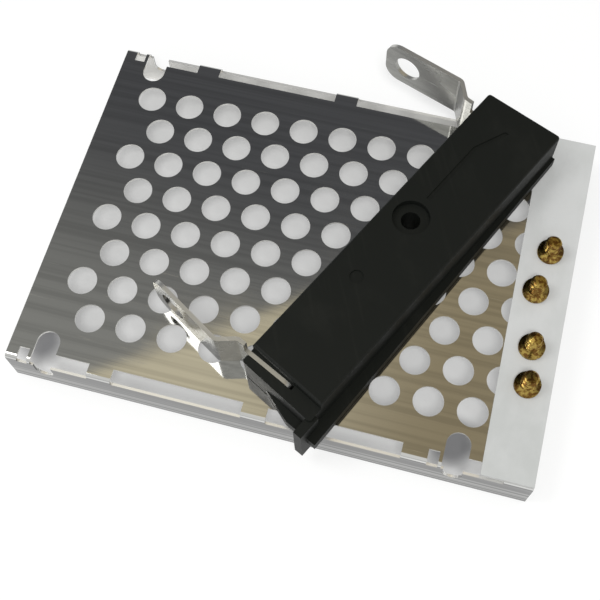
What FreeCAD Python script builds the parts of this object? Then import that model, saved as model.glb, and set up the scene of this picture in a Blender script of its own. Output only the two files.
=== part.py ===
"""Laptop drive caddy set: a folded perforated tray with an insulating strip across its
connector end, the end cover with its two steel arms lying across it, and four loose screws."""
import FreeCAD
import Part
import Sketcher
import os
import re

ALIASES = [
    # Tray, folded from one sheet, plate uppermost and walls down
    ("tray_width", 71.0, "outside the two walls"),
    ("tray_height", 9.0, "wall foot to plate top"),
    ("tray_gauge", 0.5, "sheet thickness"),
    ("bend_radius", 0.5, "inside the folds"),
    ("screw_spacing", 76.6, "side screws of a 2.5 inch drive, along it"),
    ("screw_from_end", 14.0, "connector end to the nearer side screws"),
    ("rear_margin", 7.0, "other end to the farther side screws"),
    ("screw_depth", 3.0, "plate underside to side screw axis"),
    ("hole_diameter", 5.6, "perforation"),
    ("hole_pitch", 8.0, "perforation, along a row"),
    ("row_pitch", 7.0, "perforation, row to row"),
    ("hole_end_margin", 8.5, "least plain plate past the outer hole centres, at the ends"),
    ("hole_side_margin", 10.5, "least plain plate past the outer rows, at the walls"),
    ("notch_width", 4.4, "screw notch in the plate"),
    ("notch_reach", 6.8, "wall face to the notch's round end"),
    ("wall_slot_width", 3.4, "screw slot in the wall"),
    ("relief_reach", 2.6, "bend relief, wall face to its inner edge"),
    ("relief_drop", 1.2, "bend relief, plate top to the wall's cut edge"),
    ("square_relief", 2.0, "length of the relief before each notch"),
    ("square_web", 0.6, "metal left between that relief and the notch"),
    ("short_relief", 6.6, "length of the relief that runs on from each notch"),
    ("bend_tab", 4.6, "fold left between the long reliefs"),
    # Insulating strip, cut and laid by hand
    ("strip_gauge", 0.2, "thickness"),
    ("strip_back", 10.6, "width at the back wall"),
    ("strip_front", 9.4, "width at the front wall"),
    ("strip_margin", 0.3, "wall face to the strip's ends"),
    # End cover, moulded
    ("cover_x", 10.57, "place on the tray of the middle of the cover's inner side"),
    ("cover_y", 4.05, "place on the tray of the middle of the cover's inner side"),
    ("cover_turn", -26.0, "degrees, about the plate's normal"),
    ("cover_length", 71.0, "end to end, at the inner side"),
    ("cover_width", 16.15, "inner side to outer side"),
    ("cover_height", 9.0, "foot to top face"),
    ("cover_taper", 0.7, "end draft, each end, over the width"),
    ("cover_wall", 1.6, "side walls"),
    ("cover_roof", 1.8, "top wall"),
    ("cover_edge", 0.5, "rounding of the top edges"),
    ("cover_corner", 0.6, "rounding of the upright corners"),
    ("bore_across", 5.4, "inner side to the screw bore"),
    ("bore_along", 4.6, "middle to the screw bore"),
    ("bore_diameter", 3.6, "screw bore"),
    ("recess_diameter", 7.0, "recess for the screw head"),
    ("recess_depth", 1.3, "recess for the screw head"),
    ("boss_diameter", 8.0, "boss under the recess"),
    ("rib_gauge", 1.2, "cross ribs in the hollow"),
    ("rib_spacing", 34.0, "between the two cross ribs"),
    ("rib_lift", 1.5, "ribs stop this far above the foot"),
    ("front_step", 3.0, "top face stops this far from the front end"),
    ("front_drop", 2.0, "front flange below the top face"),
    ("hook_width", 1.75, "hook on the front flange, across the cover"),
    ("hook_reach", 3.0, "hook past the flange"),
    ("hook_height", 6.2, "hook above the foot"),
    ("hook_drop", 5.0, "hook's finger below the foot, outside the tray's wall"),
    ("hook_throat", 0.75, "flange to the hook's finger"),
    ("skirt_reach", 0.6, "lip along the outer side, at the back end"),
    ("skirt_flare", 1.85, "how much farther the lip reaches at the front end"),
    ("skirt_front", 1.6, "lip past the front end"),
    ("skirt_start", 4.8, "inner side to the start of the front lip"),
    ("skirt_run", 7.2, "slanting run of the front lip, across the cover"),
    ("skirt_height", 2.4, "lip above the foot"),
    ("mark_width", 0.8, "groove in the top face"),
    ("mark_depth", 0.25, "groove in the top face"),
    ("mark_gap", 1.5, "recess rim to the groove's start"),
    ("mark_straight", 14.2, "groove's straight run"),
    ("mark_rise", 6.5, "groove's slanting run, along the cover"),
    ("mark_side", 2.6, "groove's slanting run, across the cover"),
    ("pip_diameter", 2.6, "moulding mark in the top face"),
    ("pip_depth", 0.3, "moulding mark in the top face"),
    ("pip_along", 15.5, "moulding mark to screw bore"),
    # Arms of the cover, folded steel, standing in slots of its ends
    ("arm_gauge", 0.8, "sheet thickness"),
    ("arm_bend", 0.8, "inside the folds"),
    ("arm_shift", 1.2, "middle of the two arms, from the cover's middle towards its front end"),
    ("tab_inset", 3.6, "cover's end to the wall that the tab stands against, before that shift"),
    ("tab_reach", 10.0, "tab inside the cover"),
    ("tab_height", 7.2, "tab"),
    ("tab_corner", 2.0, "rounding of the tab's upper corner"),
    ("tab_shoulder", 0.8, "cover's inner side to the ear's full height"),
    ("tab_clearance", 0.05, "tab in its slot"),
    ("joggle_start", 2.6, "cover's inner side to the joggle"),
    ("joggle_run", 3.0, "joggle, along the arm"),
    ("joggle_rise", 2.7, "joggle, outwards"),
    ("ear_length", 22.2, "cover's inner side to the ear's tip"),
    ("ear_height", 10.0, "ear"),
    ("ear_round", 3.2, "rounding of the ear's tip corners"),
    ("ear_toe", 1.65, "ear tip leans in by"),
    ("ear_bore", 5.6, "hole in the ear"),
    # Loose M3 screws, standing on their heads on the strip
    ("screw_diameter", 3.0, "shank"),
    ("screw_length", 3.5, "shank"),
    ("screw_tip", 0.35, "chamfer at the shank's end"),
    ("head_diameter", 4.8, "head"),
    ("head_height", 1.2, "head"),
    ("head_edge", 0.25, "chamfer on the head's rim"),
    ("drive_length", 2.8, "cross recess, across"),
    ("drive_width", 0.8, "cross recess, slot"),
    ("drive_depth", 0.7, "cross recess"),
    ("screw_one_in", 4.9, "first screw, in from the connector end"),
    ("screw_one_along", 9.6, "first screw, from the middle line"),
    ("screw_two_in", 6.2, "second screw"),
    ("screw_two_along", 1.05, "second screw"),
    ("screw_three_in", 5.0, "third screw"),
    ("screw_three_along", -10.1, "third screw"),
    ("screw_four_in", 4.5, "fourth screw"),
    ("screw_four_along", -17.4, "fourth screw"),
]

doc = FreeCAD.newDocument("caddy_set")
sheet = doc.addObject("Spreadsheet::Sheet", "sizes")
for row, (alias, value, note) in enumerate(ALIASES, start=1):
    sheet.set(f"A{row}", note)
    sheet.set(f"B{row}", str(value))
    sheet.setAlias(f"B{row}", alias)
doc.recompute()

NAMES = {alias for alias, _, _ in ALIASES}
SHEET = "sizes."
THROUGH = "through"
NEAR = 1e-4


def cells(text):
    """Turn alias words in a formula into references to the sheet."""
    return re.sub("[a-z_]+", lambda word: SHEET + word[0] if word[0] in NAMES else word[0], text)


def bind(obj, target, text):
    obj.setExpression(target, cells(text))


def value_of(text):
    return float(sheet.evalExpression(text))


# Lengths and places that several features share
TRAY_LENGTH = "(screw_spacing + screw_from_end + rear_margin)"
TRAY_END = f"{TRAY_LENGTH} / 2"
NEAR_SCREW = f"({TRAY_END} - screw_from_end)"
FAR_SCREW = f"({NEAR_SCREW} - screw_spacing)"
LONG_ROW = f"(floor(({TRAY_LENGTH} - 2 * hole_end_margin) / hole_pitch) + 1)"
ROW_COUNT = "(floor((tray_width - 2 * hole_side_margin) / row_pitch) + 1)"
SHORT_ROWS = f"floor(({ROW_COUNT} + 1) / 2)"
LONG_ROWS = f"floor({ROW_COUNT} / 2)"
COVER_HALF = "(cover_length / 2)"
COVER_HALF_OUTER = "(cover_length / 2 + cover_taper)"
TAB_SEAT = f"({COVER_HALF} - tab_inset)"


def origin_part(body, role):
    return next(part for part in body.Origin.OriginFeatures if part.Role == role)


def new_body(label):
    body = doc.addObject("PartDesign::Body", label)
    body.Label = label
    return body


def place(body, x, y, z, turn=None):
    bind(body, "Placement.Base.x", x)
    bind(body, "Placement.Base.y", y)
    bind(body, "Placement.Base.z", z)
    if turn:
        bind(body, "Placement.Rotation.Angle", f"{turn} * 1 deg")


def new_sketch(body, name, role="XY_Plane", lift=None):
    sketch = body.newObject("Sketcher::SketchObject", name)
    sketch.AttachmentSupport = (origin_part(body, role), [""])
    sketch.MapMode = "FlatFace"
    if lift:
        bind(sketch, "AttachmentOffset.Base.z", lift)
    doc.recompute()
    return sketch


def pin_point(sketch, geometry, position, point):
    """Fix one point of a sketch by two dimensions that follow the sheet."""
    for kind, axis, text in zip(("DistanceX", "DistanceY"), (-2, -1), point):
        if text == "0":
            sketch.addConstraint(Sketcher.Constraint("PointOnObject", geometry, position, axis))
            continue
        index = sketch.addConstraint(
            Sketcher.Constraint(kind, -1, 1, geometry, position, value_of(text)))
        bind(sketch, f"Constraints[{index}]", text)


def outline(sketch, points):
    """Add a closed outline whose corners follow the sheet."""
    corners = [FreeCAD.Vector(value_of(x), value_of(y), 0) for x, y in points]
    first = sketch.GeometryCount
    for index, corner in enumerate(corners):
        sketch.addGeometry(Part.LineSegment(corner, corners[(index + 1) % len(corners)]))
    for index, point in enumerate(points):
        following = first + (index + 1) % len(points)
        sketch.addConstraint(Sketcher.Constraint("Coincident", first + index, 2, following, 1))
        pin_point(sketch, first + index, 1, point)


def rectangle(sketch, left, right, low, high):
    outline(sketch, [(left, low), (right, low), (right, high), (left, high)])


def circle(sketch, x, y, diameter):
    centre = FreeCAD.Vector(value_of(x), value_of(y), 0)
    radius = value_of(diameter) / 2
    index = sketch.addGeometry(Part.Circle(centre, FreeCAD.Vector(0, 0, 1), radius))
    pin_point(sketch, index, 3, (x, y))
    size = sketch.addConstraint(Sketcher.Constraint("Diameter", index, 2 * radius))
    bind(sketch, f"Constraints[{size}]", diameter)


def pad(sketch, name, length, up=True, both=False):
    feature = sketch.getParentGeoFeatureGroup().newObject("PartDesign::Pad", name)
    feature.Profile = sketch
    feature.Reversed = not up
    feature.SideType = "Symmetric" if both else "One side"
    bind(feature, "Length", length)
    doc.recompute()
    return feature


def pocket(sketch, name, length, up=True, both=False):
    """Cut along the sketch's normal when up, against it otherwise."""
    feature = sketch.getParentGeoFeatureGroup().newObject("PartDesign::Pocket", name)
    before = feature.BaseFeature.Shape.Volume
    feature.Profile = sketch
    feature.Reversed = up
    feature.SideType = "Symmetric" if both else "One side"
    if length == THROUGH:
        feature.Type = "ThroughAll"
    else:
        bind(feature, "Length", length)
    doc.recompute()
    if feature.Shape.Volume >= before:
        raise RuntimeError(f"{name} removes nothing")
    return feature


def round_edges(body, name, radius, wanted):
    """Fillet the edges of the body's last feature that the test picks."""
    base = body.Tip
    names = [f"Edge{number}" for number, edge in enumerate(base.Shape.Edges, start=1) if wanted(edge)]
    if not names:
        raise RuntimeError(f"{name} finds no edge")
    feature = body.newObject("PartDesign::Fillet", name)
    feature.Base = (base, names)
    bind(feature, "Radius", radius)
    doc.recompute()
    return feature


def edge_at(x=None, y=None, z=None, level=True):
    """Make a test for edges whose ends lie at the formulas given; |y| counts, the same at both if level."""
    wanted = [(0, x), (1, y), (2, z)]

    def test(edge):
        for vertex in edge.Vertexes:
            point = (vertex.X, abs(vertex.Y), vertex.Z)
            for axis, text in wanted:
                if text is not None and abs(point[axis] - value_of(text)) > NEAR:
                    return False
        ends = edge.Vertexes
        return len(ends) == 2 and (abs(ends[0].Y - ends[1].Y) < NEAR) == level

    return test


def pattern(body, name, originals, steps):
    """Repeat features by a chain of steps: rows (axis, count, length) or a mirror plane."""
    multi = body.newObject("PartDesign::MultiTransform", name)
    multi.Originals = originals
    made = []
    for number, step in enumerate(steps, start=1):
        if isinstance(step, str):
            part = doc.addObject("PartDesign::Mirrored", f"{name}_{number}")
            part.MirrorPlane = (origin_part(body, step), [""])
        else:
            axis, count, length = step
            part = doc.addObject("PartDesign::LinearPattern", f"{name}_{number}")
            part.Direction = (origin_part(body, axis), [""])
            bind(part, "Occurrences", count)
            bind(part, "Length", length)
        body.addObject(part)
        made.append(part)
    multi.Transformations = made
    body.Tip = multi
    doc.recompute()
    return multi


def make_tray():
    """Channel section, perforation, bend reliefs, screw notches and wall slots."""
    body = new_body("tray")
    half = "tray_width / 2"
    inner = "(tray_width / 2 - tray_gauge)"
    under = "(tray_height - tray_gauge)"
    section = new_sketch(body, "tray_section", "YZ_Plane")
    outline(section, [
        (f"0 - {half}", "0"), (f"0 - {half}", "tray_height"), (half, "tray_height"), (half, "0"),
        (inner, "0"), (inner, under), (f"0 - {inner}", under), (f"0 - {inner}", "0")])
    pad(section, "tray_channel", TRAY_LENGTH, both=True)
    round_edges(body, "tray_outer_bends", "bend_radius + tray_gauge", edge_at(y=half, z="tray_height"))
    round_edges(body, "tray_inner_bends", "bend_radius", edge_at(y=inner, z=under))

    row_half = f"({LONG_ROW} - 1) * hole_pitch / 2"
    column_half = f"({ROW_COUNT} - 1) * row_pitch / 2"
    for name, inset, count, rows, first in (
            ("short_row", "hole_pitch / 2", f"{LONG_ROW} - 1", SHORT_ROWS, "0"),
            ("long_row", "0", LONG_ROW, LONG_ROWS, "row_pitch")):
        sketch = new_sketch(body, f"{name}_hole")
        circle(sketch, f"{inset} - {row_half}", f"{first} - {column_half}", "hole_diameter")
        hole = pocket(sketch, f"{name}_punch", THROUGH)
        pattern(body, f"{name}s", [hole], [
            ("X_Axis", count, f"({count} - 1) * hole_pitch"),
            ("Y_Axis", rows, f"({rows} - 1) * 2 * row_pitch")])

    cut_level = "tray_height - relief_drop"
    relief_inner = f"relief_reach - {half}"
    clear = f"0 - {half} - tray_gauge"
    notch_centre = f"notch_reach - notch_width / 2 - {half}"
    screw_level = f"{under} - screw_depth"
    square_end = f"{FAR_SCREW} - notch_width / 2 - square_web"
    short_end = f"({FAR_SCREW} + notch_width / 2 + short_relief)"
    long_start = f"({short_end} + bend_tab)"
    long_end = f"({NEAR_SCREW} - notch_width / 2 - square_web - square_relief - bend_tab)"
    long_relief = f"({long_end} - {long_start} - bend_tab) / 2"

    sketch = new_sketch(body, "short_reliefs", lift=cut_level)
    rectangle(sketch, f"{square_end} - square_relief", square_end, clear, relief_inner)
    rectangle(sketch, FAR_SCREW, short_end, clear, relief_inner)
    reliefs = pocket(sketch, "short_relief_cut", THROUGH)
    sketch = new_sketch(body, "notch", lift=cut_level)
    rectangle(sketch, f"{FAR_SCREW} - notch_width / 2", f"{FAR_SCREW} + notch_width / 2",
              clear, notch_centre)
    notch = pocket(sketch, "notch_cut", THROUGH)
    sketch = new_sketch(body, "notch_end", lift=cut_level)
    circle(sketch, FAR_SCREW, notch_centre, "notch_width")
    notch_end = pocket(sketch, "notch_end_cut", THROUGH)
    sketch = new_sketch(body, "wall_slot", "XZ_Plane")
    rectangle(sketch, f"{FAR_SCREW} - wall_slot_width / 2", f"{FAR_SCREW} + wall_slot_width / 2",
              screw_level, cut_level)
    wall_slot = pocket(sketch, "wall_slot_cut", THROUGH)
    sketch = new_sketch(body, "wall_slot_end", "XZ_Plane")
    circle(sketch, FAR_SCREW, screw_level, "wall_slot_width")
    slot_end = pocket(sketch, "wall_slot_end_cut", THROUGH)
    pattern(body, "screw_places", [reliefs, notch, notch_end, wall_slot, slot_end],
            [("X_Axis", "2", "screw_spacing"), "XZ_Plane"])

    sketch = new_sketch(body, "long_reliefs", lift=cut_level)
    rectangle(sketch, long_start, f"{long_start} + {long_relief}", clear, relief_inner)
    rectangle(sketch, f"{long_end} - {long_relief}", long_end, clear, relief_inner)
    long_cut = pocket(sketch, "long_relief_cut", THROUGH)
    pattern(body, "both_long_reliefs", [long_cut], ["XZ_Plane"])
    return body


def make_strip():
    """Thin strip laid flat on the connector end of the plate, its inner edge a little askew."""
    body = new_body("end_strip")
    reach = "(tray_width / 2 - strip_margin)"
    sketch = new_sketch(body, "strip_outline")
    outline(sketch, [
        (f"{TRAY_END} - strip_front", f"0 - {reach}"), (TRAY_END, f"0 - {reach}"),
        (TRAY_END, reach), (f"{TRAY_END} - strip_back", reach)])
    pad(sketch, "strip_sheet", "strip_gauge")
    place(body, "0", "0", "tray_height")
    return body


def make_cover():
    """Hollow moulding: screw boss, ribs, slots for the arms, front flange with hook, lip round the foot."""
    body = new_body("end_cover")
    hollow = "(cover_height - cover_roof)"
    near_roof = "(cover_height - cover_roof / 2)"
    outer = "cover_width"
    sketch = new_sketch(body, "cover_outline")
    outline(sketch, [
        ("0", f"0 - {COVER_HALF}"), (outer, f"0 - {COVER_HALF_OUTER}"),
        (outer, COVER_HALF_OUTER), ("0", COVER_HALF)])
    pad(sketch, "cover_block", "cover_height")
    round_edges(body, "cover_corners", "cover_corner",
                lambda edge: abs(edge.Vertexes[0].Z - edge.Vertexes[1].Z) > value_of("cover_height") / 2)
    sketch = new_sketch(body, "front_step_outline", lift="cover_height - front_drop")
    slant = "cover_taper * cover_wall / cover_width"
    outline(sketch, [
        ("0 - cover_wall", f"front_step - {COVER_HALF} + {slant}"),
        (f"{outer} + cover_wall", f"front_step - {COVER_HALF_OUTER} - {slant}"),
        (f"{outer} + cover_wall", f"0 - {COVER_HALF_OUTER} - cover_wall"),
        ("0 - cover_wall", f"0 - {COVER_HALF_OUTER} - cover_wall")])
    pocket(sketch, "front_step_cut", THROUGH)
    round_edges(body, "cover_rim", "cover_edge",
                lambda edge: min(vertex.Z for vertex in edge.Vertexes) > value_of(hollow))

    sketch = new_sketch(body, "cover_hollow")
    rectangle(sketch, "cover_wall", f"{outer} - cover_wall",
              f"cover_wall - {TAB_SEAT} - arm_shift", f"{TAB_SEAT} - arm_shift - cover_wall")
    pocket(sketch, "cover_core", hollow)
    sketch = new_sketch(body, "cover_boss")
    circle(sketch, "bore_across", "bore_along", "boss_diameter")
    pad(sketch, "boss", near_roof)
    sketch = new_sketch(body, "cover_ribs", lift="rib_lift")
    for side in ("bore_along - rib_spacing / 2", "bore_along + rib_spacing / 2"):
        rectangle(sketch, "cover_wall / 2", f"{outer} - cover_wall / 2",
                  f"{side} - rib_gauge / 2", f"{side} + rib_gauge / 2")
    pad(sketch, "ribs", f"{near_roof} - rib_lift")
    sketch = new_sketch(body, "screw_bore")
    circle(sketch, "bore_across", "bore_along", "bore_diameter")
    pocket(sketch, "bore", THROUGH)
    sketch = new_sketch(body, "screw_recess", lift="cover_height")
    circle(sketch, "bore_across", "bore_along", "recess_diameter")
    pocket(sketch, "recess", "recess_depth", up=False)

    slot_end = "tab_reach + tab_clearance"
    slot_back = f"({TAB_SEAT} + arm_gauge + tab_clearance)"
    sketch = new_sketch(body, "front_slot")
    rectangle(sketch, "0 - cover_wall", slot_end,
              f"0 - {slot_back} - arm_shift", f"0 - {TAB_SEAT} - arm_shift")
    pocket(sketch, "front_slot_cut", THROUGH)
    sketch = new_sketch(body, "back_slot")
    rectangle(sketch, "0 - cover_wall", slot_end, f"{TAB_SEAT} - arm_shift", f"{slot_back} - arm_shift")
    pocket(sketch, "back_slot_cut", "tab_height - strip_gauge + tab_clearance")

    hook_side = f"{outer} + skirt_reach"
    hook_tip = f"0 - {COVER_HALF_OUTER} - hook_reach"
    sketch = new_sketch(body, "hook_outline")
    rectangle(sketch, f"{hook_side} - hook_width", hook_side, hook_tip, f"cover_wall - {COVER_HALF_OUTER}")
    pad(sketch, "hook", "hook_height")
    sketch = new_sketch(body, "finger_outline")
    rectangle(sketch, f"{hook_side} - hook_width", hook_side, hook_tip,
              f"0 - {COVER_HALF_OUTER} - hook_throat")
    pad(sketch, "hook_finger", "hook_drop", up=False)
    sketch = new_sketch(body, "skirt_outline")
    lip_inner = f"{outer} - cover_wall / 2"
    lip_back = f"{COVER_HALF_OUTER} - cover_corner"
    lip_front = f"0 - {COVER_HALF_OUTER} - skirt_front"
    outline(sketch, [
        (lip_inner, lip_back), (f"{outer} + skirt_reach", lip_back),
        (f"{outer} + skirt_reach + skirt_flare", lip_front), ("skirt_start + skirt_run", lip_front),
        ("skirt_start", f"0 - {COVER_HALF}"), (lip_inner, f"0 - {COVER_HALF}")])
    pad(sketch, "skirt", "skirt_height")

    mark_left = "(bore_across - mark_width / 2)"
    mark_right = "(bore_across + mark_width / 2)"
    mark_start = "(bore_along + recess_diameter / 2 + mark_gap)"
    mark_turn = f"({mark_start} + mark_straight)"
    sketch = new_sketch(body, "top_mark", lift="cover_height")
    outline(sketch, [
        (mark_left, mark_start), (mark_right, mark_start), (mark_right, mark_turn),
        (f"{mark_right} + mark_side", f"{mark_turn} + mark_rise"),
        (f"{mark_left} + mark_side", f"{mark_turn} + mark_rise"), (mark_left, mark_turn)])
    pocket(sketch, "mark", "mark_depth", up=False)
    sketch = new_sketch(body, "top_pip", lift="cover_height")
    circle(sketch, "bore_across", "bore_along - pip_along", "pip_diameter")
    pocket(sketch, "pip", "pip_depth", up=False)
    place(body, "cover_x", "cover_y", "tray_height + strip_gauge", "cover_turn")
    return body


def make_arm(label, side):
    """Steel arm: a tab in the cover's slot, a joggle outwards and an ear with a rounded tip and a hole."""
    body = new_body(label)
    ear = f"({TAB_SEAT} + joggle_rise)"
    turn_in = "(0 - joggle_start)"
    turn_out = f"({turn_in} - joggle_run)"
    tip = "0 - ear_length"
    # A fold's two faces turn this far apart along the arm, so that the joggle keeps the gauge
    lag = "arm_gauge * (sqrt(joggle_run ^ 2 + joggle_rise ^ 2) - joggle_run) / joggle_rise"
    inner = [("tab_reach", TAB_SEAT), (turn_in, TAB_SEAT), (turn_out, ear), (tip, f"{ear} - ear_toe")]
    outer = [(tip, f"{ear} - ear_toe + arm_gauge"), (f"{turn_out} + {lag}", f"{ear} + arm_gauge"),
             (f"{turn_in} + {lag}", f"{TAB_SEAT} + arm_gauge"), ("tab_reach", f"{TAB_SEAT} + arm_gauge")]
    sketch = new_sketch(body, f"{label}_outline")
    outline(sketch, [(x, f"{side} * ({y})") for x, y in inner + outer])
    pad(sketch, f"{label}_strap", "ear_height")
    round_edges(body, f"{label}_tip", "ear_round",
                lambda edge: max(vertex.X for vertex in edge.Vertexes) < NEAR - value_of("ear_length")
                and abs(edge.Vertexes[0].Z - edge.Vertexes[1].Z) < NEAR)
    for fold, radius, (x, y) in (
            ("tight_in", "arm_bend", outer[2]), ("wide_in", "arm_bend + arm_gauge", inner[1]),
            ("tight_out", "arm_bend", inner[2]), ("wide_out", "arm_bend + arm_gauge", outer[1])):
        round_edges(body, f"{label}_{fold}", radius, edge_at(x=x, y=y))

    sketch = new_sketch(body, f"{label}_step", lift="tab_height")
    rectangle(sketch, "0 - tab_shoulder", "tab_reach + arm_gauge",
              f"{side} * ({TAB_SEAT} - arm_gauge)", f"{side} * ({TAB_SEAT} + 2 * arm_gauge)")
    pocket(sketch, f"{label}_step_cut", THROUGH)
    round_edges(body, f"{label}_tab_corner", "tab_corner",
                edge_at(x="tab_reach", z="tab_height", level=False))
    sketch = new_sketch(body, f"{label}_hole", "XZ_Plane")
    circle(sketch, "ear_height / 2 - ear_length", "ear_height / 2", "ear_bore")
    pocket(sketch, f"{label}_hole_cut", THROUGH, both=True)
    place(body, "cover_x + arm_shift * sin(cover_turn * 1 deg)",
          "cover_y - arm_shift * cos(cover_turn * 1 deg)", "tray_height", "cover_turn")
    return body


def make_screw(label, inset, along):
    """Low-head screw, turned upside down: head below, shank above, cross recess underneath."""
    body = new_body(label)
    rim = "head_diameter / 2"
    shank = "screw_diameter / 2"
    top = "head_height + screw_length"
    sketch = new_sketch(body, f"{label}_section", "XZ_Plane")
    outline(sketch, [
        ("0", "0"), (f"{rim} - head_edge", "0"), (rim, "head_edge"), (rim, "head_height"),
        (shank, "head_height"), (shank, f"{top} - screw_tip"), (f"{shank} - screw_tip", top), ("0", top)])
    turned = body.newObject("PartDesign::Revolution", f"{label}_turned")
    turned.Profile = sketch
    turned.ReferenceAxis = (sketch, ["V_Axis"])
    turned.Angle = 360
    doc.recompute()
    arm = "drive_length / 2"
    slot = "drive_width / 2"
    sketch = new_sketch(body, f"{label}_drive")
    outline(sketch, [
        (arm, f"0 - {slot}"), (arm, slot), (slot, slot), (slot, arm), (f"0 - {slot}", arm),
        (f"0 - {slot}", slot), (f"0 - {arm}", slot), (f"0 - {arm}", f"0 - {slot}"),
        (f"0 - {slot}", f"0 - {slot}"), (f"0 - {slot}", f"0 - {arm}"), (slot, f"0 - {arm}"),
        (slot, f"0 - {slot}")])
    pocket(sketch, f"{label}_recess", "drive_depth")
    place(body, f"{TRAY_END} - {inset}", along, "tray_height + strip_gauge")
    return body


bodies = [make_tray(), make_strip(), make_cover(), make_arm("front_arm", "-1"), make_arm("back_arm", "1")]
for number, word in enumerate(("one", "two", "three", "four"), start=1):
    bodies.append(make_screw(f"screw_{number}", f"screw_{word}_in", f"screw_{word}_along"))
doc.recompute()

for obj in doc.Objects:
    if "Invalid" in obj.State or "Error" in obj.State:
        raise RuntimeError(f"{obj.Name} failed: {obj.State}")
for body in bodies:
    if body.Shape.isNull() or not body.Shape.isValid() or len(body.Shape.Solids) != 1:
        raise RuntimeError(f"{body.Label} is not one sound solid")

os.makedirs("parts", exist_ok=True)
for body in bodies:
    body.Shape.exportStep(f"parts/{body.Label}.step")
    box = body.Shape.BoundBox
    lengths = f"{box.XLength:6.2f} x {box.YLength:6.2f} x {box.ZLength:5.2f} mm"
    print(f"{body.Label:14s} {body.Shape.Volume:9.1f} mm3  {lengths}")
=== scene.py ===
"""Looks of a laptop drive caddy: perforated tray, end strip, end cover with steel arms, four screws.
"""
import math
from contextlib import contextmanager

import bpy
from bpy.props import FloatProperty, FloatVectorProperty, IntProperty, PointerProperty
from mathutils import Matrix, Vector


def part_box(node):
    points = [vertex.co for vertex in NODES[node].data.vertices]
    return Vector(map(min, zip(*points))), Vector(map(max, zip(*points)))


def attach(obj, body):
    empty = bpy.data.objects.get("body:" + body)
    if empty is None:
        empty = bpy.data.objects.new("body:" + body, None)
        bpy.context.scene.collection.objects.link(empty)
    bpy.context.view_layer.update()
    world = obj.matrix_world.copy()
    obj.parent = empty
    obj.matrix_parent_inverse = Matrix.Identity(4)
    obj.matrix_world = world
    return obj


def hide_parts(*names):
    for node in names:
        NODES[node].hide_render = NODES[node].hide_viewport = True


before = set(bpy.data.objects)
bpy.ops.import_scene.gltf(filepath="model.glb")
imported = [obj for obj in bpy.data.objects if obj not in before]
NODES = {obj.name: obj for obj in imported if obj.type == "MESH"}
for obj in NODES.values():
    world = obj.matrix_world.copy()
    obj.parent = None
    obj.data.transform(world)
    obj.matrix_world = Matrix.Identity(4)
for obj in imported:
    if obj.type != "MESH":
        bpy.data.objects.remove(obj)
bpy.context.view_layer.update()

bl_info = {
    "name": "Drive Caddy Looks",
    "version": (1, 0, 0),
    "blender": (4, 5, 0),
    "location": "3D View > Sidebar > Caddy",
    "description": "Dresses the drive caddy, its end cover, arms and screws, and sets the stage",
    "category": "Object",
}

BODY = "root"
MM = 0.001
WHITE = (1.0, 1.0, 1.0)

SCREW_NODES = [f"screw_{number}" for number in (1, 2, 3, 4)]
ARM_NODES = ["front_arm", "back_arm"]
TRAY_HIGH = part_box("tray")[1]
COVER_TURN = math.radians(-26.0)


# Settings that a user would change

def amount(name, description, default, low=0.0):
    return FloatProperty(name=name, description=description, default=default, min=low)


def length(name, description, default):
    return FloatProperty(name=name, description=description, default=default, min=0.0,
                         unit="LENGTH", precision=5)


def share(name, description, default):
    return FloatProperty(name=name, description=description, default=default, min=0.0, max=1.0,
                         subtype="FACTOR")


def colour(name, description, default):
    return FloatVectorProperty(name=name, description=description, default=default, min=0.0,
                               max=1.0, size=3, subtype="COLOR")


def triple(name, description, default, **kind):
    return FloatVectorProperty(name=name, description=description, default=default, size=3, **kind)


class CaddySheetSettings(bpy.types.PropertyGroup):
    """Finish of the folded sheet-metal pieces"""
    tray_colour: colour("Tray", "Reflected colour of the rolled sheet", (0.62, 0.62, 0.61))
    arm_colour: colour("Arms", "Reflected colour of the steel arms", (0.38, 0.38, 0.36))
    # Painted shade: the walls are the plate's own sheet, darkened for the light they catch
    wall_shade_colour: colour("Walls", "Reflected colour of the tray walls", (0.10, 0.10, 0.10))
    # Painted reflection: the stripes along the walls stand in for what the walls mirror
    reflection_stripe_colour: colour("Wall stripes", "Reflected colour of the stripes along the walls",
                          (0.32, 0.32, 0.312))
    cut_colour: colour("Cut edges", "Reflected colour of fresh sheared edges", (0.93, 0.92, 0.89))
    tray_roughness: share("Tray roughness", "Roughness of the clean rolled sheet", 0.03)
    arm_roughness: share("Arm roughness", "Roughness of the clean steel arms", 0.24)
    arm_lean: amount("Arm lean", "Height added to the arms' shading normal, which bends it down if below 0",
                     -0.105, low=-1.0)
    grain_pitch: length("Grain pitch", "Spacing of the rolling lines", 0.22 * MM)
    grain_run: length("Grain run", "Length of one rolling line", 22 * MM)
    grain_depth: length("Grain depth", "Depth of the rolling lines", 0.0006 * MM)
    streak_pitch: length("Streak pitch", "Spacing of the broad rolling streaks", 1.3 * MM)
    # Painted reflection stripes along the walls
    reflection_stripe_pitch: length("Stripe pitch", "Spacing of the stripes along the walls", 0.75 * MM)
    scratch_run: length("Scratch run", "Length of a handling scratch", 30 * MM)
    scratch_pitch: length("Scratch pitch", "Spacing of the handling scratches", 0.8 * MM)
    smear: length("Smears", "Size of the dull smears", 14 * MM)


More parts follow.
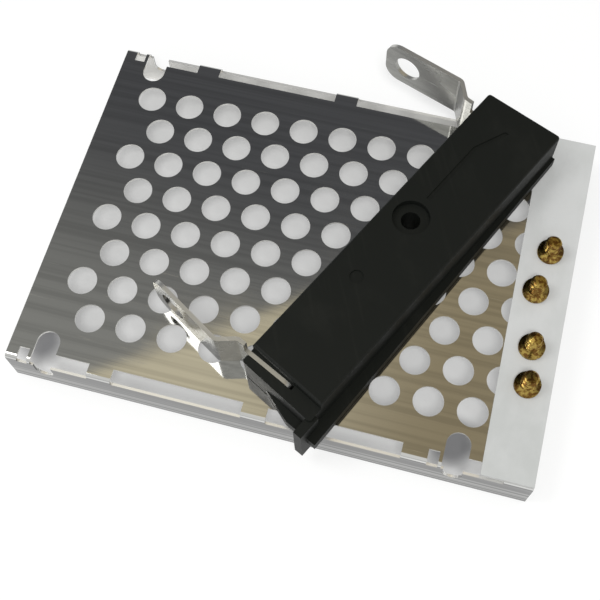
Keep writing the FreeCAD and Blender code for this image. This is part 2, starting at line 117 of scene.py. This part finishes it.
class CaddyMouldingSettings(bpy.types.PropertyGroup):
    """Finish of the moulded cover and of the film strip"""
    cover_colour: colour("Cover", "Colour of the moulded plastic", (0.0068, 0.0080, 0.0068))
    cover_rub: colour("Rubbed plastic", "Colour where handling has rubbed it", (0.015, 0.016, 0.014))
    cover_roughness: share("Cover roughness", "Roughness of the moulded texture", 0.46)
    texture_grain: length("Mould texture", "Grain of the moulded texture", 0.16 * MM)
    texture_depth: length("Texture depth", "Depth of the moulded texture", 0.010 * MM)
    strip_colour: colour("Strip", "Colour of the insulating film", (0.61, 0.615, 0.605))
    strip_shade: colour("Strip shade", "Colour of the film's greyer patches", (0.50, 0.51, 0.495))
    strip_roughness: share("Strip roughness", "Roughness of the film", 0.62)
    strip_patch: length("Strip patches", "Size of the film's greyer patches", 6 * MM)


class CaddyScrewSettings(bpy.types.PropertyGroup):
    """Shape and finish of the loose screws"""
    pitch: length("Pitch", "Thread pitch", 0.5 * MM)
    thread_depth: length("Thread depth", "Crest to root of the thread", 0.31 * MM)
    head_height: length("Head height", "Height of the screw's head", 1.2 * MM)
    turn_steps: IntProperty(name="Steps per turn", description="Facets in one turn of the thread",
                            default=48, min=12)
    gold: colour("Passivation", "Reflected colour of the yellow coat", (0.46, 0.33, 0.09))
    bronze: colour("Bronze tint", "Reflected colour of the coat's darker patches", (0.17, 0.085, 0.022))
    roughness: share("Roughness", "Roughness of the coat", 0.20)
    patch: length("Tint patches", "Size of the coat's tint patches", 0.7 * MM)


class CaddyStageSettings(bpy.types.PropertyGroup):
    """Camera, floor and light"""
    camera_place: triple("Camera", "Where the camera stands",
                         (24.72 * MM, -82.95 * MM, 182.57 * MM), unit="LENGTH")
    camera_turn: triple("Camera turn", "Pitch, roll and heading of the camera",
                        [math.radians(turn) for turn in (23.497, 1.4775, 15.025)], subtype="EULER")
    lens: amount("Lens", "Focal length on a 36 mm sensor, in millimetres", 61.1, low=10.0)
    floor_reach: length("Floor", "Half width of the floor", 3.0)
    floor_colour: colour("Floor colour", "Colour of the floor", (0.45, 0.45, 0.445))
    floor_lift: amount("Floor lift", "White added to the floor as it is seen", 0.56)
    # Painted shade: less white on the floor under the tray
    under_tray_shaded_lift: amount("Lift under the tray", "White added to the floor under the tray", 0.25)
    floor_far: amount("Far floor lift", "White added where the lamps don't reach", 0.3)
    # Painted shade: darker floor colour in spots by the front notches
    notch_shade: colour("Notch shade", "Colour of the floor that the tray shades by its front notches",
                        (0.15, 0.15, 0.156))
    shade_reach: length("Shade reach", "Radius of the shade by each front notch", 6.6 * MM)
    lamp_reach: length("Lamp reach", "Distance at which the lamps have faded from the floor", 0.6)
    sky: colour("Sky", "Light of the room", (0.99, 1.0, 1.0))
    sky_strength: amount("Sky strength", "Brightness of the room", 0.54)
    room_dark: colour("Dark room", "What metal mirrors from the room's far side", (0.092, 0.094, 0.10))
    room_near: colour("Nearer room", "What metal mirrors from higher up", (0.33, 0.33, 0.31))
    glow_left: colour("Glow, left", "What metal mirrors from the lit ceiling at left",
                      (0.73, 0.66, 0.48))
    glow_right: colour("Glow, right", "What metal mirrors from the lit ceiling at right",
                       (0.36, 0.30, 0.19))
    glow_side: triple("Glow side", "Points away from the lit part of the ceiling",
                      (-0.535, 0.752, -0.385), subtype="DIRECTION")
    glow_edge: amount("Glow edge", "Half width of the lit part's soft edge", 0.006, low=0.001)
    room_front: colour("Bright front", "What metal mirrors from the viewer's side", (0.92, 0.92, 0.90))
    room_low: colour("Low walls", "What metal mirrors from near the horizon", (0.62, 0.63, 0.63))
    key_place: triple("Key", "Where the key light stands", (-0.411, -0.106, 0.704), unit="LENGTH")
    key_power: amount("Key power", "Power of the key light, in watts", 1.2)
    key_size: length("Key size", "Side of the square key light", 0.26)
    flash_power: amount("Flash power", "Power of the light by the camera, in watts", 0.9)
    flash_size: length("Flash size", "Side of the square light by the camera", 0.10)
    flash_reach: length("Flash reach", "Tray to the light by the camera", 0.45)


def settings(part):
    return getattr(bpy.context.scene, f"caddy_{part}")


# Shader maths

# Sockets of a mix node that blends colours
MIX_FACTOR = 0
MIX_FIRST = 6
MIX_SECOND = 7
MIX_RESULT = 2


class Value:
    """One output socket, so that shader maths reads as plain arithmetic."""

    def __init__(self, finish, socket):
        self.finish = finish
        self.socket = socket

    def maths(self, operation, *others):
        inputs = dict(enumerate((self,) + others))
        return self.finish.node("ShaderNodeMath", {"operation": operation}, inputs)

    def __add__(self, other):
        return self.maths("ADD", other)

    def __sub__(self, other):
        return self.maths("SUBTRACT", other)

    def __mul__(self, other):
        return self.maths("MULTIPLY", other)

    def __neg__(self):
        return self * -1.0

    def __rsub__(self, other):
        return -self + other

    def __abs__(self):
        return self.maths("ABSOLUTE")

    __radd__ = __add__
    __rmul__ = __mul__

    def larger(self, other):
        return self.maths("MAXIMUM", other)

    def above(self, low, high):
        """0 up to low, 1 from high on, smooth between."""
        inputs = {"Value": self, "From Min": low, "From Max": high}
        return self.finish.node("ShaderNodeMapRange", {"interpolation_type": "SMOOTHSTEP"}, inputs)


def rgba(value):
    """A colour as a socket takes it."""
    return value if isinstance(value, Value) else tuple(value) + (1.0,)


class Finish:
    """A node tree being filled: a material's or the world's."""

    def __init__(self, tree):
        self.tree = tree

    def fill(self, socket, value):
        """Link a socket to a value from another node, or set it."""
        if isinstance(value, Value):
            self.tree.links.new(value.socket, socket)
        else:
            socket.default_value = value

    def node(self, kind, changes=None, inputs=None, output=0):
        """Add a node, change its settings, then fill its sockets."""
        node = self.tree.nodes.new(kind)
        for name, value in (changes or {}).items():
            setattr(node, name, value)
        for name, value in (inputs or {}).items():
            self.fill(node.inputs[name], value)
        return Value(self, node.outputs[output])

    def vector(self, operation, *vectors, output="Vector"):
        return self.node("ShaderNodeVectorMath", {"operation": operation}, dict(enumerate(vectors)), output)

    def parts(self, vector):
        """X, Y and Z of a vector."""
        node = self.node("ShaderNodeSeparateXYZ", inputs={"Vector": vector}).socket.node
        return [Value(self, socket) for socket in node.outputs]

    def place(self, turn=0.0):
        """Object coordinates, turned about Z."""
        coordinates = self.node("ShaderNodeTexCoord", output="Object")
        if not turn:
            return coordinates
        return self.node("ShaderNodeMapping",
                         inputs={"Vector": coordinates, "Rotation": (0.0, 0.0, turn)})

    def normal(self):
        return self.node("ShaderNodeNewGeometry", output="Normal")

    def ray(self, kind):
        """1 for rays of a kind, such as Camera or Glossy."""
        return self.node("ShaderNodeLightPath", output=f"Is {kind} Ray")

    def noise(self, vector, cell, detail=2.0, roughness=0.5):
        """Noise whose cells measure the given lengths along X, Y and Z."""
        scale = tuple(1.0 / size for size in cell)
        scaled = self.node("ShaderNodeMapping", inputs={"Vector": vector, "Scale": scale})
        return self.node("ShaderNodeTexNoise", inputs={"Vector": scaled, "Scale": 1.0, "Detail": detail,
                                                       "Roughness": roughness})

    def mix(self, factor, first, second):
        """Blend of two colours."""
        inputs = {MIX_FACTOR: factor, MIX_FIRST: rgba(first), MIX_SECOND: rgba(second)}
        return self.node("ShaderNodeMix", {"data_type": "RGBA"}, inputs, MIX_RESULT)

    def bump(self, height, depth, lean=0.0):
        """Normal of a surface whose relief runs from 0 to the depth, bent up or down by the lean."""
        inputs = {"Height": height, "Strength": 1.0, "Distance": depth}
        if lean:
            bent = self.vector("ADD", self.normal(), (0.0, 0.0, lean))
            inputs["Normal"] = self.vector("NORMALIZE", bent)
        return self.node("ShaderNodeBump", inputs=inputs)


def new_material(name):
    """A material, its node tree ready to fill, and its shader."""
    material = bpy.data.materials.new(name)
    material.use_nodes = True
    return material, Finish(material.node_tree), material.node_tree.nodes["Principled BSDF"]


def feed(finish, shader, **sockets):
    """Fill a shader's sockets, named with underscores for spaces."""
    for name, value in sockets.items():
        finish.fill(shader.inputs[name.replace("_", " ")], value)


# Finishes. A band says where a mark begins to show and where it shows in full.

STREAK_BAND = (0.4, 0.66)
SCRATCH_BAND = (0.64, 0.72)
SMEAR_BAND = (0.42, 0.7)
REFLECTION_STRIPE_BAND = (0.44, 0.68)
# Lengths of a streak and of a painted reflection stripe on the walls, in runs of the grain
STREAK_RUNS = 6
REFLECTION_STRIPE_RUNS = 9
# Tone of a streak against the clean sheet, and how much of it and of a scratch's colour shows
STREAK_TONE = 0.72
STREAK_SHARE = 0.6
SCRATCH_SHARE = 0.45
# Depth of a scratch against that of the grain
SCRATCH_RELIEF = 0.8
# How far the painted reflection stripes die out towards the walls' top, leaving painted shade there, and
# the shares of the tray's height between which they do
TOP_SHADE_FADE = 0.8
TOP_SHADE_BAND = (0.55, 0.9)
# How upright a wall stands, and how level an edge or a ledge lies
UPRIGHT_BAND = (0.6, 0.9)
EDGE_BAND = (0.6, 0.9)
LEDGE_BAND = (0.5, 0.8)
# Depths below the walls' outer faces and below the plate's top
WALL_SKIN = (0.4 * MM, 0.2 * MM)
PLATE_SKIN = (0.9 * MM, 0.7 * MM)
# How much of the cut colour shows on the arms' edges, and how far a cut edge loses its metal sheen
ARM_EDGE_SHARE = 0.4
EDGE_DULLING = 0.4
# Roughness that each mark adds to the sheet
GRAIN_ROUGHNESS = 0.03
SMEAR_ROUGHNESS = 0.05
SCRATCH_ROUGHNESS = 0.12
EDGE_ROUGHNESS = 0.16


def lengthwise(run, pitch):
    """Noise cell of lines along X."""
    return run, pitch, pitch


def rolled_sheet(name, tint, roughness, turn=0.0, lean=0.0, walls=False):
    """Bright rolled sheet: lengthwise grain, streaks, scratches and smears, with pale sheared edges; with
    walls, the walls' outer faces get painted shade and painted reflection stripes.
    """
    look = settings("sheet")
    material, finish, shader = new_material(name)
    place = finish.place(turn)
    grain = finish.noise(place, lengthwise(look.grain_run, look.grain_pitch), detail=3.0)
    streak = finish.noise(place, lengthwise(STREAK_RUNS * look.grain_run, look.streak_pitch), detail=3.0)
    scratch = finish.noise(place, lengthwise(look.scratch_run, look.scratch_pitch), detail=4.0,
                           roughness=0.7).above(*SCRATCH_BAND)
    smear = finish.noise(place, (look.smear,) * 3, detail=3.0).above(*SMEAR_BAND)
    _, _, rise = finish.parts(finish.normal())
    clean = finish.mix(streak.above(*STREAK_BAND) * STREAK_SHARE, tint,
                       [STREAK_TONE * part for part in tint])
    base = finish.mix(scratch * SCRATCH_SHARE, clean, look.cut_colour)
    if walls:
        _, y, z = finish.parts(place)
        upright = (1.0 - abs(rise)).above(*UPRIGHT_BAND)
        outside = abs(y).above(*(TRAY_HIGH.y - depth for depth in WALL_SKIN))
        # Painted reflection stripes along the walls' outer faces
        reflection_stripe = finish.noise(place, lengthwise(REFLECTION_STRIPE_RUNS * look.grain_run, look.reflection_stripe_pitch))
        # Painted shade: the stripes die out near the walls' top, leaving it darker
        top_shade = TOP_SHADE_FADE * z.above(*(part * TRAY_HIGH.z for part in TOP_SHADE_BAND))
        reflection_stripe = reflection_stripe.above(*REFLECTION_STRIPE_BAND) * (1.0 - top_shade)
        # Painted shade: the walls' outer faces take the dark wall colour in place of the sheet's
        wall = finish.mix(reflection_stripe, look.wall_shade_colour, look.reflection_stripe_colour)
        base = finish.mix(upright * outside, base, wall)
        below = 1.0 - z.above(*(TRAY_HIGH.z - depth for depth in PLATE_SKIN))
        cut = (upright * (1.0 - outside)).larger(below * rise.above(*LEDGE_BAND))
    else:
        cut = ARM_EDGE_SHARE * abs(rise).above(*EDGE_BAND)
    base = finish.mix(cut, base, look.cut_colour)
    rough = (roughness + grain * GRAIN_ROUGHNESS + smear * SMEAR_ROUGHNESS + scratch * SCRATCH_ROUGHNESS
             + cut * EDGE_ROUGHNESS)
    relief = grain + scratch * SCRATCH_RELIEF
    feed(finish, shader, Base_Color=base, Metallic=1.0 - cut * EDGE_DULLING, Roughness=rough,
         Normal=finish.bump(relief, look.grain_depth, lean))
    return material


# Rubbed patches and long scuffs: size, band, share of the rubbed colour, and roughness that they take off
RUB_CELL = (9 * MM, 14 * MM, 9 * MM)
RUB_BAND = (0.5, 0.78)
RUB_SHARE = 0.5
RUB_POLISH = 0.10
SCUFF_CELL = (1.2 * MM, 16 * MM, 1.2 * MM)
SCUFF_BAND = (0.58, 0.72)
SCUFF_SHARE = 0.25
SCUFF_POLISH = 0.06
TEXTURE_ROUGHNESS = 0.16
PLASTIC_SPECULAR = 0.20


def moulded_plastic():
    """Black plastic with a spark-eroded mould texture, rubbed where it is handled."""
    look = settings("moulding")
    material, finish, shader = new_material("cover_plastic")
    place = finish.place(COVER_TURN)
    grain = finish.noise(place, (look.texture_grain,) * 3, detail=3.0, roughness=0.6)
    rub = finish.noise(place, RUB_CELL, detail=4.0, roughness=0.6).above(*RUB_BAND)
    scuff = finish.noise(place, SCUFF_CELL, detail=3.0).above(*SCUFF_BAND)
    base = finish.mix(rub * RUB_SHARE + scuff * SCUFF_SHARE, look.cover_colour, look.cover_rub)
    rough = look.cover_roughness + grain * TEXTURE_ROUGHNESS - rub * RUB_POLISH - scuff * SCUFF_POLISH
    feed(finish, shader, Base_Color=base, Roughness=rough, Specular_IOR_Level=PLASTIC_SPECULAR,
         Normal=finish.bump(grain, look.texture_depth))
    return material


# Greyer patches, longer across the tray, and how much of the grey is theirs and the front end's
PATCH_BAND = (0.4, 0.68)
PATCH_STRETCH = 1.6
PATCH_SHARE = 0.4
FRONT_SHARE = 0.6
# Grain of the film's surface
TOOTH = 0.35 * MM
TOOTH_DEPTH = 0.012 * MM
TOOTH_ROUGHNESS = 0.12


def insulating_film():
    """Matt pale film, greyer in faint patches and towards the front, with a paper-like tooth."""
    look = settings("moulding")
    material, finish, shader = new_material("strip_film")
    place = finish.place()
    size = look.strip_patch
    patch = finish.noise(place, (size, PATCH_STRETCH * size, size), detail=4.0, roughness=0.62)
    tooth = finish.noise(place, (TOOTH,) * 3, detail=3.0)
    _, y, _ = finish.parts(place)
    front = 1.0 - y.above(-TRAY_HIGH.y, 0.0)
    shade = PATCH_SHARE * patch.above(*PATCH_BAND) + FRONT_SHARE * front
    base = finish.mix(shade, look.strip_colour, look.strip_shade)
    feed(finish, shader, Base_Color=base, Roughness=look.strip_roughness + tooth * TOOTH_ROUGHNESS,
         Normal=finish.bump(tooth, TOOTH_DEPTH))
    return material


BRONZE_BAND = (0.40, 0.58)
# Small rubbed spots: size, depth and roughness that they add
SPOT = 0.2 * MM
SPOT_DEPTH = 0.006 * MM
SPOT_ROUGHNESS = 0.16


def yellow_coat():
    """Yellow passivated steel with bronze tints and small rubbed spots."""
    look = settings("screws")
    material, finish, shader = new_material("screw_brass")
    place = finish.place()
    tint = finish.noise(place, (look.patch,) * 3, detail=3.0, roughness=0.6)
    spots = finish.noise(place, (SPOT,) * 3, detail=2.0)
    base = finish.mix(tint.above(*BRONZE_BAND), look.gold, look.bronze)
    feed(finish, shader, Base_Color=base, Metallic=1.0, Roughness=look.roughness + spots * SPOT_ROUGHNESS,
         Normal=finish.bump(spots, SPOT_DEPTH))
    return material


def dress(piece, material):
    """Give a piece one finish in place of any that it has."""
    slots = piece.data.materials
    slots.clear()
    slots.append(material)


# Modelling by operators

# Distances within which vertices merge
COPY_MERGE = 0.0005 * MM
GROOVE_MERGE = 0.001 * MM
THREAD_MERGE = 0.010 * MM
# Thread groove: half widths as shares of the pitch, reach past the crest as a share of the depth
MOUTH_SHARE = 15 / 32
BOTTOM_SHARE = 1 / 8
PAST_SHARE = 1 / 8


def deselect():
    if bpy.context.object and bpy.context.object.mode != "OBJECT":
        bpy.ops.object.mode_set(mode="OBJECT")
    bpy.ops.object.select_all(action="DESELECT")


def make_active(piece):
    deselect()
    piece.select_set(True)
    bpy.context.view_layer.objects.active = piece


@contextmanager
def editing(piece):
    """Edit mode with the whole mesh selected, then object mode again."""
    make_active(piece)
    bpy.ops.object.mode_set(mode="EDIT")
    bpy.ops.mesh.select_all(action="SELECT")
    yield
    bpy.ops.object.mode_set(mode="OBJECT")


def add_object(name, data):
    piece = bpy.data.objects.new(name, data)
    bpy.context.scene.collection.objects.link(piece)
    return piece


def apply_modifier(piece, kind, **changes):
    make_active(piece)
    modifier = piece.modifiers.new(kind.lower(), kind)
    for name, value in changes.items():
        setattr(modifier, name, value)
    bpy.ops.object.modifier_apply(modifier=modifier.name)


def merge_close(piece, threshold):
    """Merge vertices within the threshold and dissolve the slivers that are left."""
    with editing(piece):
        bpy.ops.mesh.remove_doubles(threshold=threshold)
        bpy.ops.mesh.dissolve_degenerate(threshold=threshold)


def copy_node(node, name):
    """Merged copy of a CAD node's mesh as a new object."""
    piece = add_object(name, NODES[node].data.copy())
    merge_close(piece, COPY_MERGE)
    return piece


def loop(name, points):
    """Closed outline through the points, made by extruding one vertex round."""
    deselect()
    bpy.ops.mesh.primitive_plane_add(size=MM)
    piece = bpy.context.object
    piece.name = name
    with editing(piece):
        bpy.ops.mesh.merge(type="CENTER")
        bpy.ops.transform.translate(value=points[0])
        for start, end in zip(points, points[1:] + points[:1]):
            step = Vector(end) - Vector(start)
            bpy.ops.mesh.extrude_vertices_move(TRANSFORM_OT_translate={"value": step})
        bpy.ops.mesh.select_all(action="SELECT")
        bpy.ops.mesh.remove_doubles(threshold=GROOVE_MERGE)
    return piece


def thread_groove(centre, radius, low, high):
    """Closed helical cutter for a thread about an upright axis."""
    look = settings("screws")
    root = radius - look.thread_depth
    past = radius + look.thread_depth * PAST_SHARE
    mouth = look.pitch * MOUTH_SHARE
    bottom = look.pitch * BOTTOM_SHARE
    groove = loop("thread_groove", [(root, 0.0, -bottom), (past, 0.0, -mouth), (past, 0.0, mouth),
                                    (root, 0.0, bottom)])
    turns = math.ceil((high - low) / look.pitch) + 1
    apply_modifier(groove, "SCREW", axis="Z", angle=math.tau, screw_offset=look.pitch, iterations=turns,
                   steps=look.turn_steps, render_steps=look.turn_steps)
    with editing(groove):
        bpy.ops.mesh.remove_doubles(threshold=GROOVE_MERGE)
        bpy.ops.mesh.fill_holes(sides=0)
        bpy.ops.mesh.select_all(action="SELECT")
        bpy.ops.mesh.normals_make_consistent(inside=False)
        bpy.ops.transform.translate(value=(centre.x, centre.y, low + look.pitch))
    return groove


# Operators: one for each piece or group of like pieces, and one for the stage

class CADDY_OT_tray(bpy.types.Operator):
    """Finish the folded perforated tray"""
    bl_idname = "caddy.tray"
    bl_label = "Tray"

    def execute(self, context):
        look = settings("sheet")
        material = rolled_sheet("tray_metal", look.tray_colour, look.tray_roughness, walls=True)
        dress(NODES["tray"], material)
        return {"FINISHED"}


class CADDY_OT_strip(bpy.types.Operator):
    """Finish the insulating strip"""
    bl_idname = "caddy.strip"
    bl_label = "End strip"

    def execute(self, context):
        dress(NODES["end_strip"], insulating_film())
        return {"FINISHED"}


class CADDY_OT_cover(bpy.types.Operator):
    """Finish the moulded end cover"""
    bl_idname = "caddy.cover"
    bl_label = "End cover"

    def execute(self, context):
        dress(NODES["end_cover"], moulded_plastic())
        return {"FINISHED"}


class CADDY_OT_arms(bpy.types.Operator):
    """Finish the cover's two steel arms"""
    bl_idname = "caddy.arms"
    bl_label = "Arms"

    def execute(self, context):
        look = settings("sheet")
        material = rolled_sheet("arm_steel", look.arm_colour, look.arm_roughness, turn=-COVER_TURN,
                                lean=look.arm_lean)
        for node in ARM_NODES:
            dress(NODES[node], material)
        return {"FINISHED"}


# In degrees: turn from one screw to the next, and sharpest edge that is shaded smooth
SCREW_TURN = 67.0
SMOOTH_ANGLE = 32.0
# Height above the head from which there is only shank
SHANK_START = 1 * MM


class CADDY_OT_screws(bpy.types.Operator):
    """Cut the thread into a copy of one screw and stand copies of it in the four places"""
    bl_idname = "caddy.screws"
    bl_label = "Screws"

    def execute(self, context):
        look = settings("screws")
        first = SCREW_NODES[0]
        low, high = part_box(first)
        centre = (low + high) / 2
        under_head = low.z + look.head_height
        model = copy_node(first, "screw_model")
        shank_radius = max((vertex.co.xy - centre.xy).length for vertex in model.data.vertices
                           if vertex.co.z > under_head + SHANK_START)
        groove = thread_groove(centre, shank_radius, under_head, high.z)
        apply_modifier(model, "BOOLEAN", operation="DIFFERENCE", solver="EXACT", object=groove)
        bpy.data.objects.remove(groove)
        merge_close(model, THREAD_MERGE)
        dress(model, yellow_coat())
        make_active(model)
        bpy.ops.object.shade_smooth_by_angle(angle=math.radians(SMOOTH_ANGLE))
        for number, node in enumerate(SCREW_NODES, start=1):
            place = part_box(node)[0] - low
            piece = add_object(f"threaded_screw_{number}", model.data.copy())
            with editing(piece):
                turn = math.radians(SCREW_TURN * number)
                bpy.ops.transform.rotate(value=turn, orient_axis="Z", center_override=tuple(centre))
                bpy.ops.transform.translate(value=place)
            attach(piece, BODY)
            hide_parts(node)
        bpy.data.objects.remove(model)
        return {"FINISHED"}


# Painted shade on the floor, standing in for the plate's shade where the floor is seen through the notches
# in the front wall
SHADED_SPOTS = [(-46.8 * MM, -28.2 * MM, 0.0), (34.0 * MM, -28.4 * MM, 0.0)]
# Share of a shade's radius that is in full shade, and share of the added white that is lost there
SHADE_CORE = 0.3
SHADE_LOSS = 0.7
# Soft edge of the floor under the tray
UNDER_EDGE = 4 * MM
# Share of the lamps' reach within which the floor needs no more white
LAMP_CORE = 0.25


def make_floor():
    """White paper, with white added for the camera and for mirrors alone; the lesser white under the tray
    and the darker spots by the front notches are painted shade.
    """
    look = settings("stage")
    deselect()
    bpy.ops.mesh.primitive_plane_add(size=2 * look.floor_reach)
    floor = bpy.context.object
    floor.name = "floor"
    material, finish, shader = new_material("floor_paper")
    nodes = material.node_tree.nodes
    nodes.remove(shader)
    seen = finish.ray("Camera").larger(finish.ray("Glossy")).larger(finish.ray("Transmission"))
    place = finish.place()
    # Painted shade spots on the floor by the front notches
    shade = 0.0
    for spot in SHADED_SPOTS:
        off = finish.vector("DISTANCE", place, spot, output="Value")
        shade = shade + (1.0 - off.above(SHADE_CORE * look.shade_reach, look.shade_reach))
    tint = finish.mix(shade, look.floor_colour, look.notch_shade)
    away = finish.vector("LENGTH", place, output="Value")
    x, y, _ = finish.parts(place)
    past_end = abs(x).above(TRAY_HIGH.x - UNDER_EDGE, TRAY_HIGH.x)
    past_wall = abs(y).above(TRAY_HIGH.y - UNDER_EDGE, TRAY_HIGH.y)
    under = 1.0 - past_end.larger(past_wall)
    lift = look.floor_lift + look.floor_far * away.above(LAMP_CORE * look.lamp_reach, look.lamp_reach)
    # Painted shade: less white under the tray, and less still in the spots by the front notches
    lift = (lift - (look.floor_lift - look.under_tray_shaded_lift) * under) * (1.0 - SHADE_LOSS * shade)
    paper = finish.node("ShaderNodeBsdfDiffuse", inputs={"Color": tint})
    glow = finish.node("ShaderNodeEmission", inputs={"Strength": seen * lift})
    both = finish.node("ShaderNodeAddShader", inputs={0: paper, 1: glow})
    finish.fill(nodes["Material Output"].inputs["Surface"], both)
    dress(floor, material)


# Bands of a mirrored direction: away from the viewer, to the right, towards the viewer and upwards
FAR_BAND = (0.24, 0.5)
RIGHT_BAND = (-0.22, 0.05)
FRONT_BAND = (0.0, 0.3)
RISE_BAND = (0.0, 0.45)


def make_world():
    """Soft room light; the camera sees white, and metal mirrors a dark room with a warm ceiling."""
    look = settings("stage")
    world = bpy.data.worlds.new("room")
    world.use_nodes = True
    bpy.context.scene.world = world
    finish = Finish(world.node_tree)
    x, y, z = finish.parts(finish.node("ShaderNodeTexCoord", output="Generated"))
    ceiling = finish.mix(y.above(*FAR_BAND), look.room_near, look.room_dark)
    side = sum(part * weight for part, weight in zip((x, y, z), look.glow_side))
    lit = finish.mix(x.above(*RIGHT_BAND), look.glow_left, look.glow_right)
    ceiling = finish.mix(side.above(-look.glow_edge, look.glow_edge), lit, ceiling)
    ceiling = finish.mix((-y).above(*FRONT_BAND), ceiling, look.room_front)
    room = finish.mix(z.above(*RISE_BAND), look.room_low, ceiling)
    sky = [look.sky_strength * part for part in look.sky]
    light = finish.mix(finish.ray("Glossy"), sky, room)
    final = finish.mix(finish.ray("Camera"), light, WHITE)
    finish.fill(world.node_tree.nodes["Background"].inputs["Color"], final)


def make_light(name, place, power, size):
    """Square lamp that shines at the middle of the frame."""
    data = bpy.data.lights.new(name, "AREA")
    data.energy = power
    data.size = size
    lamp = add_object(name, data)
    lamp.location = place
    lamp.rotation_euler = Vector(place).to_track_quat("Z", "Y").to_euler()
    return lamp


# The sensor's width is in millimetres, as the lens is
SENSOR_WIDTH = 36.0
CLIP_START = 5 * MM


def make_camera():
    look = settings("stage")
    data = bpy.data.cameras.new("camera")
    data.lens = look.lens
    data.sensor_width = SENSOR_WIDTH
    data.clip_start = CLIP_START
    camera = add_object("camera", data)
    camera.location = look.camera_place
    camera.rotation_euler = look.camera_turn
    bpy.context.scene.camera = camera


class CADDY_OT_stage(bpy.types.Operator):
    """Set the floor, the room, the light and the camera"""
    bl_idname = "caddy.stage"
    bl_label = "Stage"

    def execute(self, context):
        look = settings("stage")
        context.scene.view_settings.view_transform = "Standard"
        make_floor()
        make_world()
        make_light("key", look.key_place, look.key_power, look.key_size)
        flash_place = Vector(look.camera_place).normalized() * look.flash_reach
        flash = make_light("flash", flash_place, look.flash_power, look.flash_size)
        flash.visible_glossy = False
        make_camera()
        return {"FINISHED"}


class CADDY_PT_looks(bpy.types.Panel):
    """Pieces of the caddy and its stage"""
    bl_idname = "CADDY_PT_looks"
    bl_label = "Caddy"
    bl_space_type = "VIEW_3D"
    bl_region_type = "UI"
    bl_category = "Caddy"

    def draw(self, context):
        for operator in OPERATORS:
            self.layout.operator(operator.bl_idname)


SETTINGS = {"sheet": CaddySheetSettings, "moulding": CaddyMouldingSettings, "screws": CaddyScrewSettings,
            "stage": CaddyStageSettings}
OPERATORS = [CADDY_OT_tray, CADDY_OT_strip, CADDY_OT_cover, CADDY_OT_arms, CADDY_OT_screws,
             CADDY_OT_stage]


def register():
    for part, group in SETTINGS.items():
        bpy.utils.register_class(group)
        setattr(bpy.types.Scene, f"caddy_{part}", PointerProperty(type=group))
    for operator in OPERATORS:
        bpy.utils.register_class(operator)
    bpy.utils.register_class(CADDY_PT_looks)


def unregister():
    bpy.utils.unregister_class(CADDY_PT_looks)
    for operator in reversed(OPERATORS):
        bpy.utils.unregister_class(operator)
    for part, group in reversed(SETTINGS.items()):
        delattr(bpy.types.Scene, f"caddy_{part}")
        bpy.utils.unregister_class(group)


def main():
    register()
    deselect()
    bpy.ops.caddy.tray()
    bpy.ops.caddy.strip()
    bpy.ops.caddy.cover()
    bpy.ops.caddy.arms()
    bpy.ops.caddy.screws()
    bpy.ops.caddy.stage()


if __name__ == "__main__":
    main()
